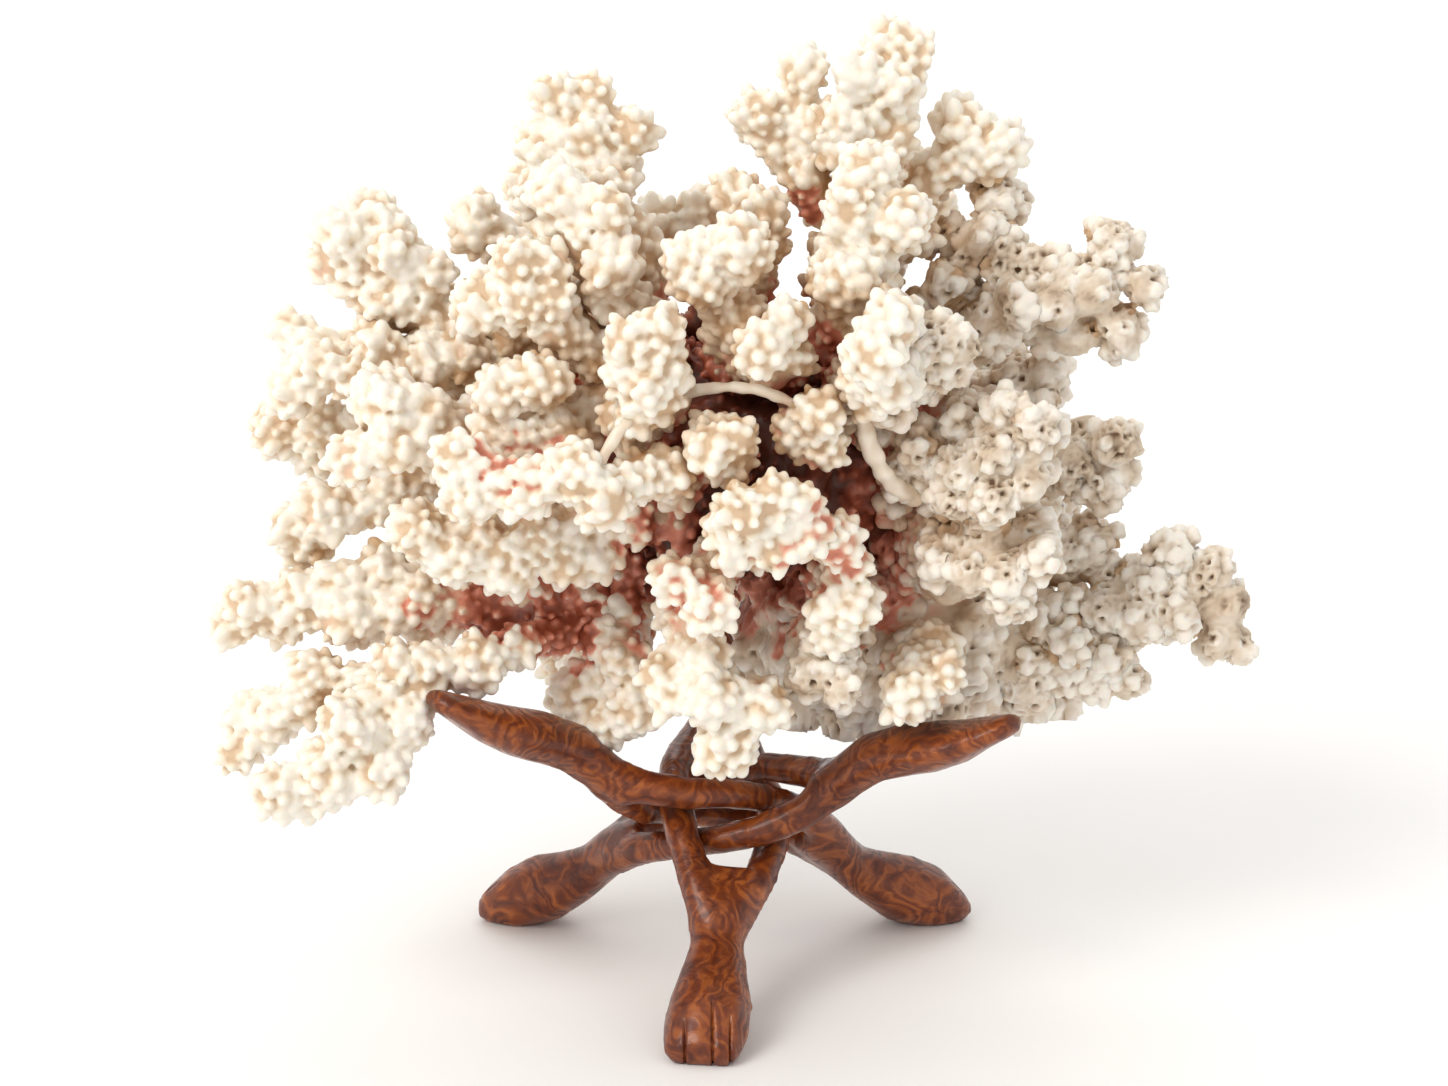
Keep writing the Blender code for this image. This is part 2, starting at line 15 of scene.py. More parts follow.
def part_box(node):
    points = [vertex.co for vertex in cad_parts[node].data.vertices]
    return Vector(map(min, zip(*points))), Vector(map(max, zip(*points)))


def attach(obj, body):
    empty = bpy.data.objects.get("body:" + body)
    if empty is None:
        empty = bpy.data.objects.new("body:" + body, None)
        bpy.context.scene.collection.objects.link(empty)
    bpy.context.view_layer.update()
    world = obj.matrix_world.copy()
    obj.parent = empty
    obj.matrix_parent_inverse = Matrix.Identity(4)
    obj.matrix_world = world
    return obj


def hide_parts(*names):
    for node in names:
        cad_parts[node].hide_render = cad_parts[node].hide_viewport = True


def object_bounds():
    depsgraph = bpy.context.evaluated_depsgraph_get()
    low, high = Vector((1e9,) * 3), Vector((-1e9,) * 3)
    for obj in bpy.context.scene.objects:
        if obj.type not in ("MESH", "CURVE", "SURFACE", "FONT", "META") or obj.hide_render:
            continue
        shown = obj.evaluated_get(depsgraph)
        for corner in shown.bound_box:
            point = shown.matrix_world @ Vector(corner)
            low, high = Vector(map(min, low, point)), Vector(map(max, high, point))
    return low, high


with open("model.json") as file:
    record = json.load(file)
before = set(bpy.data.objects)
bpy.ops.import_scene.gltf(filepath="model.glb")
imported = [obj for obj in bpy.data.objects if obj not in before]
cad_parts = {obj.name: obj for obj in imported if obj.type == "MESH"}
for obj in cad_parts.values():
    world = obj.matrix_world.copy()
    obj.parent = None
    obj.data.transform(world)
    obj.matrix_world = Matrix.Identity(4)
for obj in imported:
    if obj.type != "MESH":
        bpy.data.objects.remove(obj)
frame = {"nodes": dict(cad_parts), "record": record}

cad_box = [list(corner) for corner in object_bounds()]
MM = 0.001


# The stand is three legs, each carved from one stave of figured hardwood and oiled. Each rises from
# a foot with notched toes, parts into a loop that the next leg passes through, and ends in an open
# hand.
STAND_AXIS = Vector((-3.3, -8, 0)) * MM
FOOT_ANGLES = {"leg_front": -90, "leg_right": 30, "leg_left": 150}
WOOD_CELL = 1.9 * MM
WOOD_ROUNDING = 4
WOOD_FULLNESS = 0.75 * MM
CHISEL_WAVE = 13 * MM
CHISEL_DEPTH = 0.5 * MM
TOE_HEIGHT = 26 * MM
TOE_START = 87 * MM
TOE_NOTCHES = ((-7.2 * MM, 92 * MM), (2.2 * MM, 87 * MM), (8.4 * MM, 90 * MM))
NOTCH_WIDTH = 0.42 * MM
NOTCH_DEPTH = 1.7 * MM
NOTCH_RUN = 6 * MM
NOTCH_ROOM = 2.4 * MM
NOTCH_CUTS = 5
MERGE = 0.001 * MM
WOOD_COLOURS = ((0.25, (0.075, 0.014, 0.005)), (0.42, (0.18, 0.037, 0.009)),
                (0.55, (0.26, 0.060, 0.012)), (0.72, (0.44, 0.125, 0.026)))
WOOD_SHADES = ((0.35, (0.62, 0.55, 0.52)), (0.65, (1, 1, 1)))
WOOD_GLOSS = ((0.3, (0.42, 0.42, 0.42)), (0.7, (0.26, 0.26, 0.26)))
WOOD_GRAIN_DEPTH = 0.5 * MM
FIGURE_BEND = 0.06
CURL_SHARE = 0.24


def evened(mesh, cell, kept=1):
    """A closed mesh as a bmesh of even faces, of which a share is kept; the mesh is used up."""
    cage = bpy.data.objects.new("cage", mesh)
    bpy.context.scene.collection.objects.link(cage)
    even = cage.modifiers.new("even", "REMESH")
    even.mode = "VOXEL"
    even.voxel_size = cell
    if kept < 1:
        cage.modifiers.new("fewer", "DECIMATE").ratio = kept
    seen = cage.evaluated_get(bpy.context.evaluated_depsgraph_get())
    bm = bmesh.new()
    bm.from_mesh(seen.to_mesh())
    seen.to_mesh_clear()
    bpy.data.objects.remove(cage)
    bpy.data.meshes.remove(mesh)
    return bm


def as_mesh(bm, name):
    """The bmesh written to a new mesh, and freed."""
    mesh = bpy.data.meshes.new(name)
    bm.to_mesh(mesh)
    bm.free()
    return mesh


def even_skin(name, cell):
    """A CAD node's form as a bmesh of even square faces."""
    bm = bmesh.new()
    bm.from_mesh(frame["nodes"][name].data)
    bmesh.ops.remove_doubles(bm, verts=bm.verts, dist=MERGE)
    return evened(as_mesh(bm, name + "_cage"), cell)


def smoothed(bm, passes):
    for _ in range(passes):
        bmesh.ops.smooth_vert(bm, verts=bm.verts, factor=0.5,
                              use_axis_x=True, use_axis_y=True, use_axis_z=True)
    bm.normal_update()


def shift(bm, moves):
    """Moves each vertex by its own move."""
    for vert, move in zip(bm.verts, moves):
        vert.co += move


def swell(bm, amount):
    """Moves every vertex out by amount(vertex)."""
    shift(bm, [vert.normal * amount(vert) for vert in bm.verts])


def notch_toes(bm, name):
    """Cuts the notches between the toes, over the end of the foot."""
    out = Matrix.Rotation(math.radians(FOOT_ANGLES[name]), 3, "Z") @ Vector((1, 0, 0))
    side = Vector((-out.y, out.x, 0))
    toes = [(vert.co - STAND_AXIS).dot(side) for vert in bm.verts
            if vert.co.z < TOE_HEIGHT and (vert.co - STAND_AXIS).dot(out) > TOE_START]
    centre = (min(toes) + max(toes)) / 2

    def depth(vert):
        """How deep the nearest notch is here, from 0 to 1."""
        spot = vert.co - STAND_AXIS
        if vert.co.z > TOE_HEIGHT:
            return 0
        deepest = 0
        for across, start in TOE_NOTCHES:
            aside = spot.dot(side) - centre - across
            if abs(aside) < NOTCH_ROOM and spot.dot(out) > start:
                along = min(1, (spot.dot(out) - start) / NOTCH_RUN)
                deepest = max(deepest, along * math.exp(-(aside / NOTCH_WIDTH) ** 2))
        return deepest

    near = [edge for edge in bm.edges if all(depth(vert) > 0 for vert in edge.verts)]
    bmesh.ops.subdivide_edges(bm, edges=near, cuts=NOTCH_CUTS, use_grid_fill=True)
    bm.normal_update()
    shift(bm, [vert.normal * -NOTCH_DEPTH * depth(vert) for vert in bm.verts])


def link(tree, source, target):
    tree.links.new(source, target)


def shader_node(tree, kind, **values):
    """A shader node with its properties or input sockets set by name."""
    node = tree.nodes.new("ShaderNode" + kind)
    for key, value in values.items():
        if hasattr(node, key):
            setattr(node, key, value)
        else:
            node.inputs[key.replace("_", " ")].default_value = value
    return node


def ramp(tree, source, stops):
    """A colour ramp from source through (position, colour) stops."""
    node = tree.nodes.new("ShaderNodeValToRGB")
    elements = node.color_ramp.elements
    while len(elements) < len(stops):
        elements.new(0.5)
    for element, (position, colour) in zip(elements, stops):
        element.position = position
        element.color = (*colour, 1)
    link(tree, source, node.inputs["Fac"])
    return node.outputs["Color"]


def mixed(tree, share, first, second, blend="MIX"):
    """Two colours mixed; share is a socket or a number, and either colour a socket or a tuple."""
    node = tree.nodes.new("ShaderNodeMix")
    node.data_type = "RGBA"
    node.blend_type = blend
    share_socket, first_socket, second_socket = (node.inputs[k] for k in (0, 6, 7))
    for value, socket in ((share, share_socket), (first, first_socket), (second, second_socket)):
        if isinstance(value, bpy.types.NodeSocket):
            link(tree, value, socket)
        else:
            socket.default_value = (*value, 1) if isinstance(value, tuple) else value
    return node.outputs[2]


def math_of(tree, operation, *values):
    """A sum on sockets and numbers."""
    node = tree.nodes.new("ShaderNodeMath")
    node.operation = operation
    for value, socket in zip(values, node.inputs):
        if isinstance(value, bpy.types.NodeSocket):
            link(tree, value, socket)
        else:
            socket.default_value = value
    return node.outputs[0]


def noise_of(tree, place, scale, detail=3, roughness=0.5, distortion=0):
    node = shader_node(tree, "TexNoise", Scale=scale, Detail=detail, Roughness=roughness,
                       Distortion=distortion)
    link(tree, place, node.inputs["Vector"])
    return node


def bumped(tree, shader, height, distance, strength):
    """Adds a bump of height to the shader's normal."""
    node = shader_node(tree, "Bump", Distance=distance, Strength=strength)
    link(tree, height, node.inputs["Height"])
    link(tree, node.outputs["Normal"], shader.inputs["Normal"])


def new_material(name, **values):
    """A material with a Principled shader, its tree, and Object coordinates."""
    material = bpy.data.materials.new(name)
    material.use_nodes = True
    tree = material.node_tree
    shader = tree.nodes["Principled BSDF"]
    for key, value in values.items():
        shader.inputs[key.replace("_", " ")].default_value = value
    place = tree.nodes.new("ShaderNodeTexCoord").outputs["Object"]
    return material, tree, shader, place


def carved_wood():
    """Red-brown burl under oil: curled figure with lighter swirls, dark in its lines."""
    material, tree, shader, place = new_material("carved_wood", Specular_IOR_Level=0.3,
                                                 Coat_Weight=0.25, Coat_Roughness=0.12)
    warp = noise_of(tree, place, scale=38, detail=2)
    bent = mixed(tree, FIGURE_BEND, place, warp.outputs["Color"])
    figure = noise_of(tree, bent, scale=105, detail=6, roughness=0.62, distortion=1.4)
    curl = shader_node(tree, "TexWave", Scale=40, Distortion=12, Detail=4, Detail_Scale=1.8)
    link(tree, bent, curl.inputs["Vector"])
    broad = noise_of(tree, place, scale=22, detail=2)
    both = mixed(tree, CURL_SHARE, figure.outputs["Fac"], curl.outputs["Fac"])
    base = ramp(tree, both, WOOD_COLOURS)
    shade = ramp(tree, broad.outputs["Fac"], WOOD_SHADES)
    link(tree, mixed(tree, 1.0, base, shade, "MULTIPLY"), shader.inputs["Base Color"])
    link(tree, ramp(tree, both, WOOD_GLOSS), shader.inputs["Roughness"])
    bumped(tree, shader, both, WOOD_GRAIN_DEPTH, strength=0.75)
    return material


def finished(name, mesh, material):
    """Puts a piece in the place of its CAD node, on the body that carries everything."""
    mesh.materials.clear()
    mesh.materials.append(material)
    mesh.shade_smooth()
    piece = bpy.data.objects.new(name + "_surface", mesh)
    bpy.context.scene.collection.objects.link(piece)
    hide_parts(name)
    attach(piece, "root")


wood = carved_wood()
for name in FOOT_ANGLES:
    bm = even_skin(name, WOOD_CELL)
    smoothed(bm, WOOD_ROUNDING)
    swell(bm, lambda vert: WOOD_FULLNESS + CHISEL_DEPTH * noise.noise(vert.co / CHISEL_WAVE))
    notch_toes(bm, name)
    for vert in bm.verts:
        vert.co.z = max(vert.co.z, 0)
    finished(name, as_mesh(bm, name + "_surface"), wood)


# The colony is one skeleton of limestone. Each branch's visible skin is rounded over its CAD solid
# and runs a little way into its neighbours, because the real branches grow out of one another.
ROOT_REACH = 1.4 * MM
ROOT_GROWTH = 3 * MM
OPEN_START = 7 * MM
OPEN_REACH = 42 * MM
OPEN_WAYS = 18
THIN_START = 0.2 * MM
THIN_SHARE = 0.2
SPOT_ROOM = 1.3 * MM ** 2
coral_slots = {row["node"]: row["material_slot"] for row in frame["record"]["subparts"]
               if row["material_slot"].startswith("coral")}


def solids_tree(names):
    """One search tree over the CAD solids of these nodes."""
    points = []
    faces = []
    for name in names:
        mesh = frame["nodes"][name].data
        faces += [[corner + len(points) for corner in face.vertices] for face in mesh.polygons]
        points += [vert.co.copy() for vert in mesh.vertices]
    return BVHTree.FromPolygons(points, faces)


colony = solids_tree(coral_slots)
neighbours = {name: solids_tree([other for other in coral_slots if other != name])
              for name in coral_slots}
heart = sum(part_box("coral_core"), Vector()) / 2


def root_in(bm, name):
    """Lets the skin grow into the neighbours that it touches."""
    tree = neighbours[name]
    swell(bm, lambda vert: ROOT_GROWTH if tree.find_nearest(vert.co, ROOT_REACH)[0] else 0)


def is_buried(tree, point, depth):
    """True where a point lies deeper than depth inside the solids of a tree."""
    near, normal, _, _ = tree.find_nearest(point)
    return (point - near).dot(normal) < -depth


golden = math.pi * (3 - math.sqrt(5))
open_ways = []
for k in range(OPEN_WAYS):
    rise = 1 - (2 * k + 1) / OPEN_WAYS
    flat = math.sqrt(1 - rise ** 2)
    open_ways.append(Vector((flat * math.cos(golden * k), flat * math.sin(golden * k), rise)))


def openness(point, normal):
    """How much of the surroundings a spot on the coral sees, from 0 to 1."""
    start = point + normal * OPEN_START
    clear = 0
    for way in open_ways:
        ahead = way if way.dot(normal) > 0 else -way
        if colony.ray_cast(start, ahead, OPEN_REACH)[0] is None:
            clear += 1
    return clear / OPEN_WAYS


# The dead tissue's red stays in the middle, and round some broken spots, which have a
# place and a reach in millimetres and the most red that they may show. In the middle it grows
# stronger and darker where the colony is sheltered, which is painted shade over the real red.
STAIN_END = 100 * MM
STAIN_FADE = 60 * MM
STAIN_WAVE = 16 * MM
STAIN_FINE_WAVE = 5 * MM
STAIN_FINE_SHARE = 0.5
STAIN_AND_SHADE_CLOSED = 2.3
STAIN_AND_SHADE_OPEN_LOSS = 2.1
STAIN_PATCHY = 0.7
STAIN_LOSS = 0.12
STAIN_SPOTS = ((-68, -29, 134, 27, 0.66), (-102, -32, 135, 14, 0.4), (-68, -80, 207, 20, 0.4),
               (23, -9, 277, 11, 0.5), (32, -79, 177, 22, 0.4), (-11, -84, 168, 20, 0.3))
BROKEN_RISE = 1.5
BROKEN_PATCHY = 1.2


def stain_and_shade_of(point, clear):
    """How red a spot of the coral is, from 0 to 1; in the sheltered middle this is partly painted
    shade.
    """
    near = max(0, min(1, (STAIN_END - (point - heart).length) / STAIN_FADE))
    patch = (noise.noise(point / STAIN_WAVE)
             + STAIN_FINE_SHARE * noise.noise(point / STAIN_FINE_WAVE))
    middle = (near * (STAIN_AND_SHADE_CLOSED - STAIN_AND_SHADE_OPEN_LOSS * clear) + STAIN_PATCHY * patch * near
              - STAIN_LOSS)
    broken = 0
    for *place, reach, strength in STAIN_SPOTS:
        inside = 1 - (point - Vector(place) * MM).length / (reach * MM)
        if inside > 0:
            broken = max(broken, min(strength, BROKEN_RISE * inside + BROKEN_PATCHY * patch))
    return max(0, min(1, max(middle, broken)))


def tree_of(points):
    """A search tree over points."""
    tree = KDTree(len(points))
    for k, point in enumerate(points):
        tree.insert(point, k)
    tree.balance()
    return tree


def spread(places, gap, chance):
    """Picks places at least gap apart, in a random order."""
    tree = tree_of(places)
    free = np.ones(len(places), bool)
    picked = []
    for k in chance.permutation(len(places)):
        if free[k]:
            picked.append(int(k))
            free[[found[1] for found in tree.find_range(places[k], gap)]] = False
    return picked


def slim(bm, amount):
    """Draws the skin in by amount, or by less where the branch is thin."""
    tree = BVHTree.FromBMesh(bm)
    moves = []
    for vert in bm.verts:
        across = tree.ray_cast(vert.co - vert.normal * THIN_START, -vert.normal)[3] or 0
        moves.append(vert.normal * -min(amount, THIN_SHARE * across))
    shift(bm, moves)
    bm.normal_update()


def spots_on(bm, room, chance):
    """Random spots on a skin of square faces, about one to a room's area, as (points, normals)."""
    points = []
    normals = []
    for face in bm.faces:
        corners = [vert.co for vert in face.verts]
        for _ in range(int(face.calc_area() / room + chance.random())):
            u, v = chance.random(2)
            low = corners[0].lerp(corners[1], u)
            high = corners[-1].lerp(corners[2], u)
            points.append(low.lerp(high, v))
            normals.append(face.normal.copy())
    return points, normals


def coral_mesh(bm, name, rises, stains, skies):
    """The bmesh as a mesh that carries what the coral's material reads at each of its points."""
    mesh = as_mesh(bm, name)
    for share, values in (("rise", rises), ("stain_and_shade", stains), ("open", skies)):
        attribute = mesh.attributes.new(share, "FLOAT", "POINT")
        attribute.data.foreach_set("value", np.asarray(values, np.float32))
    return mesh


# The white branches are covered with rounded beads of limestone, each the size of a peppercorn,
# that lean towards the tip. The hollows between the beads are painted tan as shade, and red where
# the colony is sheltered, where the dead tissue's red staining is darkened by painted shade.
BEAD_SIDES = 7
BEAD_PROFILE = ((1.3, -0.6), (1.06, 0.3), (0.85, 0.85), (0.4, 1.2), (0, 1.28))
BEAD_MERGE = 0.01
BEAD_RADIUS = 2.1 * MM
BEAD_LEAST = 0.85
BEAD_VARIETY = 0.3
BEAD_FULL_RISE = 1.4
BEAD_CELL = 0.8 * MM
BEAD_KEPT = 0.33
BEAD_GAP = 3.65 * MM
BEAD_LEAN = 0.45
BEAD_HEIGHTS = (0.9, 1.7)
BEAD_TURN = 0.22
BEAD_WAVE = 28 * MM
LOBE_RADIUS = 7.2 * MM
LOBE_GAP = 12.5 * MM
LOBE_HEIGHT = 8.5 * MM
LOBE_HEIGHTS = (0.3, 1.4)
LEAST_LOBE = 2 * MM
LOBE_ROOM_SHARE = 0.8
LOBE_LEAN = 0.5
LOBE_SPOT_ROOM = 2 * SPOT_ROOM
WHITE_CELL = 2.1 * MM
WHITE_ROUNDING = 5
WHITE_EVENING = 2
WHITE_INSET = 5 * MM
CORE_INSET = 0.5 * MM
BARE_REACH = 95 * MM
BARE_WAVE = 17 * MM
BARE_LIMIT = 0.75
BARE_SHARE = 0.7
STAIN_BARE = 0.45
BURIED = 6 * MM
LEAST_OPEN = 0.1


def bead_shape():
    """A rounded cone that flares into the skin, flat underneath, as (points, faces)."""
    bm = bmesh.new()
    profile = [bm.verts.new((radius, 0, height)) for radius, height in BEAD_PROFILE]
    line = [bm.edges.new(pair) for pair in zip(profile, profile[1:])]
    bmesh.ops.spin(bm, geom=profile + line, cent=(0, 0, 0), axis=(0, 0, 1), angle=2 * math.pi,
                   steps=BEAD_SIDES, use_merge=True)
    bmesh.ops.remove_doubles(bm, verts=bm.verts, dist=BEAD_MERGE)
    rim = [edge for edge in bm.edges if edge.is_boundary]
    bmesh.ops.contextual_create(bm, geom=rim)
    bmesh.ops.recalc_face_normals(bm, faces=bm.faces)
    bm.verts.index_update()
    points = np.array([vert.co for vert in bm.verts])
    faces = [[vert.index for vert in face.verts] for face in bm.faces]
    bm.free()
    return points, faces


bead_points, bead_faces = bead_shape()
bead_corners = np.concatenate(bead_faces)
bead_sizes = np.array([len(face) for face in bead_faces])


def beads_on(spots, ways, radii, chance):
    """The points of one bead on each spot, standing along its way."""
    ways = np.array(ways)
    turned = chance.normal(size=ways.shape)
    side = np.cross(ways, turned)
    side /= np.linalg.norm(side, axis=1)[:, None]
    other = np.cross(ways, side)
    radii = np.array(radii)[:, None]
    heights = radii * chance.uniform(*BEAD_HEIGHTS, size=radii.shape)
    frames = np.stack([side * radii, other * radii, ways * heights], axis=1)
    return np.array(spots)[:, None, :] + np.einsum("pk,mkc->mpc", bead_points, frames)


def beaded_mesh(name, bm, points):
    """One mesh of a skin and the beads on it."""
    bm.verts.index_update()
    skin_points = np.array([vert.co for vert in bm.verts])
    skin_corners = np.array([vert.index for face in bm.faces for vert in face.verts])
    skin_sizes = np.array([len(face.verts) for face in bm.faces])
    count = len(points)
    shift = len(skin_points) + len(bead_points) * np.arange(count)
    corners = np.concatenate([skin_corners, (bead_corners[None] + shift[:, None]).ravel()])
    sizes = np.concatenate([skin_sizes, np.tile(bead_sizes, count)])
    everywhere = np.concatenate([skin_points, points.reshape(-1, 3)])
    mesh = bpy.data.meshes.new(name + "_cage")
    mesh.vertices.add(len(everywhere))
    mesh.vertices.foreach_set("co", everywhere.ravel())
    mesh.loops.add(len(corners))
    mesh.loops.foreach_set("vertex_index", corners.astype(np.int32))
    mesh.polygons.add(len(sizes))
    mesh.polygons.foreach_set("loop_start", (np.cumsum(sizes) - sizes).astype(np.int32))
    mesh.update(calc_edges=True)
    return mesh


def raise_lobes(bm, chance):
    """Swells the skin into lobes that lean away from the heart, lower at the outer limits."""
    places, _ = spots_on(bm, LOBE_SPOT_ROOM, chance)
    tops = [places[number] for number in spread(places, LOBE_GAP, chance)]
    tree = tree_of(tops)
    heights = LOBE_HEIGHT * chance.uniform(*LOBE_HEIGHTS, len(tops))
    for k, top in enumerate(tops):
        room = min(min(high - at, at - low) for low, at, high in zip(cad_box[0], top, cad_box[1]))
        heights[k] = min(heights[k], max(LEAST_LOBE, LOBE_ROOM_SHARE * room))
    moves = []
    for vert in bm.verts:
        near = tree.find_range(vert.co, LOBE_RADIUS)
        height = max((heights[k] * math.sqrt(1 - (away / LOBE_RADIUS) ** 2)
                      for _, k, away in near), default=0)
        outward = (vert.co - heart).normalized()
        moves.append((vert.normal + outward * LOBE_LEAN).normalized() * height)
    shift(bm, moves)


def bead_places(name, bm, radius, gap, chance):
    """The spots, ways and radii of a branch's beads, and how much of the surroundings each sees."""
    places, normals = spots_on(bm, SPOT_ROOM, chance)
    beads = []
    for k in spread(places, gap, chance):
        point = places[k]
        if is_buried(neighbours[name], point, BURIED):
            continue
        clear = openness(point, normals[k])
        if clear < LEAST_OPEN:
            continue
        outward = (point - heart).normalized()
        size = radius * (BEAD_LEAST + BEAD_VARIETY * clear
                         + BEAD_VARIETY * noise.noise(point / BEAD_WAVE)
                         + BEAD_VARIETY * chance.uniform(-1, 1))
        bare = (BARE_REACH - (point - heart).length) / BARE_REACH + noise.noise(point / BARE_WAVE)
        if bare > BARE_LIMIT or stain_and_shade_of(point, clear) > STAIN_BARE:
            size *= BARE_SHARE
        turn = Vector(chance.normal(0, BEAD_TURN, 3))
        way = (normals[k] + outward * BEAD_LEAN + turn).normalized()
        beads.append((point, way, size, clear))
    return zip(*beads)


def white_branch(name, material, radius, gap, cell):
    """A white branch: its skin, rooted in its neighbours, and its beads."""
    chance = np.random.default_rng(sum(name.encode()))
    bm = even_skin(name, WHITE_CELL)
    root_in(bm, name)
    smoothed(bm, WHITE_ROUNDING)
    slim(bm, CORE_INSET if name == "coral_core" else WHITE_INSET)
    raise_lobes(bm, chance)
    bm = evened(as_mesh(bm, name), WHITE_CELL)
    smoothed(bm, WHITE_EVENING)
    spots, ways, radii, clears = bead_places(name, bm, radius, gap, chance)
    tree = tree_of(spots)
    skin = BVHTree.FromBMesh(bm)
    beaded = beaded_mesh(name, bm, beads_on(spots, ways, radii, chance))
    bm.free()
    bm = evened(beaded, cell, BEAD_KEPT)
    skies = [clears[tree.find(vert.co)[1]] for vert in bm.verts]
    stains = [stain_and_shade_of(vert.co, clear) for vert, clear in zip(bm.verts, skies)]
    rises = [min(1, skin.find_nearest(vert.co)[3] / (BEAD_FULL_RISE * radius)) for vert in bm.verts]
    finished(name, coral_mesh(bm, name + "_surface", rises, stains, skies), material)


GRAIN_DEPTH = 0.25 * MM
PATCH_HEIGHT = 0.5
PATCH_STAIN = 0.9
TOP_BLEACH = 0.5
# Painted shade: places that see little of their surroundings are darkened towards tan.
PAINTED_SHELTER_COLOURS = ((0.1, (0.72, 0.55, 0.39)), (0.75, (1, 1, 1)))
STAIN_AND_SHADE_COLOURS = ((0.05, (0.92, 0.66, 0.52)), (0.32, (0.70, 0.27, 0.18)),
                 (0.62, (0.35, 0.085, 0.04)), (0.95, (0.11, 0.024, 0.010)))
STAIN_AND_SHADE_SHARE = ((0.02, (0, 0, 0)), (0.30, (1, 1, 1)))


def coral_material(name, painted_hollow_shade, side, top, roughness):
    """Limestone: cream tops, painted shade down to tan hollows and in sheltered places, fine grain,
    and red staining in the middle that painted shade darkens.
    """
    material, tree, shader, place = new_material(
        name, Roughness=roughness, Subsurface_Weight=0.42, Subsurface_Radius=(1.0, 0.7, 0.45),
        Subsurface_Scale=2.5 * MM)
    rise = shader_node(tree, "Attribute", attribute_name="rise").outputs["Fac"]
    stain_and_shade = shader_node(tree, "Attribute", attribute_name="stain_and_shade").outputs["Fac"]
    open_sky = shader_node(tree, "Attribute", attribute_name="open").outputs["Fac"]
    fine = noise_of(tree, place, scale=900, detail=4, roughness=0.65)
    patch = noise_of(tree, place, scale=60, detail=4, roughness=0.6)
    uneven = math_of(tree, "MULTIPLY_ADD", patch.outputs["Fac"], PATCH_HEIGHT, -PATCH_HEIGHT / 2)
    height = math_of(tree, "ADD", rise, uneven)
    # Painted shade: the colour runs from the cream bead tops down their sides to tan in the
    # hollows.
    bare = ramp(tree, height, [(0.1, painted_hollow_shade), (0.4, side), (0.85, top)])
    # Painted shade, darker where a spot sees less of its surroundings.
    painted_shelter_shade = ramp(tree, open_sky, PAINTED_SHELTER_COLOURS)
    unstained_with_painted_shade = mixed(tree, 1.0, bare, painted_shelter_shade, "MULTIPLY")
    reach = math_of(tree, "MULTIPLY_ADD", rise, -TOP_BLEACH, stain_and_shade)
    edge = math_of(tree, "MULTIPLY_ADD", patch.outputs["Fac"], PATCH_STAIN, -PATCH_STAIN / 2)
    soaked_and_shaded = math_of(tree, "ADD", reach, edge)
    # Red staining, taken down to near black where it is strongest: partly real, partly painted
    # shade.
    red = ramp(tree, soaked_and_shaded, STAIN_AND_SHADE_COLOURS)
    share = ramp(tree, soaked_and_shaded, STAIN_AND_SHADE_SHARE)
    link(tree, mixed(tree, share, unstained_with_painted_shade, red), shader.inputs["Base Color"])
    bumped(tree, shader, fine.outputs["Fac"], GRAIN_DEPTH, strength=0.35)
    return material


white = coral_material("coral_white", painted_hollow_shade=(0.68, 0.50, 0.33), side=(0.85, 0.745, 0.595),
                       top=(0.92, 0.87, 0.78), roughness=0.36)
for name, slot in coral_slots.items():
    if slot == "coral_white":
        white_branch(name, white, BEAD_RADIUS, BEAD_GAP, BEAD_CELL)


# A few thin smooth stems cross the hollows between the white branches. They have grown into the
# branches at both ends and carry no beads. Each is four points of a curve in millimetres and a
# radius.
STEM_CURVES = (((-23, -60, 220), (-8, -62, 228), (8, -66, 228), (23, -70, 220), 2.1),
               ((42, -62, 222), (46, -66, 206), (47, -62, 192), (62, -50, 184), 3.2),
               ((-31, -78, 221), (-38, -82, 216), (-43, -86, 210), (-46, -88, 201), 2.2))
STEM_STEPS = 9
STEM_SIDES = 12
STEM_OVERLAP = 1.3
STEM_CELL = 0.6 * MM
STEM_ROUNDING = 4
STEM_WAVE = 5 * MM
STEM_UNEVEN = 1.1 * MM
STEM_END_REACH = 14 * MM
STEM_RISE = 0.75
STEM_OPEN = 0.6
STEM_VARIETY = 0.3
bm = bmesh.new()
for *places, thickness in STEM_CURVES:
    curve = interpolate_bezier(*[Vector(place) * MM for place in places], STEM_STEPS)
    for start, end in zip(curve, curve[1:]):
        way = end - start
        turn = way.to_track_quat("Z", "Y").to_matrix().to_4x4()
        bmesh.ops.create_cone(bm, cap_ends=True, segments=STEM_SIDES, radius1=thickness * MM,
                              radius2=thickness * MM, depth=STEM_OVERLAP * way.length,
                              matrix=Matrix.Translation((start + end) / 2) @ turn)
bm = evened(as_mesh(bm, "coral_stems"), STEM_CELL)
smoothed(bm, STEM_ROUNDING)
swell(bm, lambda vert: STEM_UNEVEN * noise.noise(vert.co / STEM_WAVE))
ends = [Vector(place) * MM for curve in STEM_CURVES for place in (curve[0], curve[3])]
near_ends = [max(0, 1 - min((vert.co - end).length for end in ends) / STEM_END_REACH)
             for vert in bm.verts]
rises = [STEM_RISE + STEM_VARIETY * noise.noise(vert.co / STEM_WAVE) for vert in bm.verts]
stains = [STEM_VARIETY * near for near in near_ends]
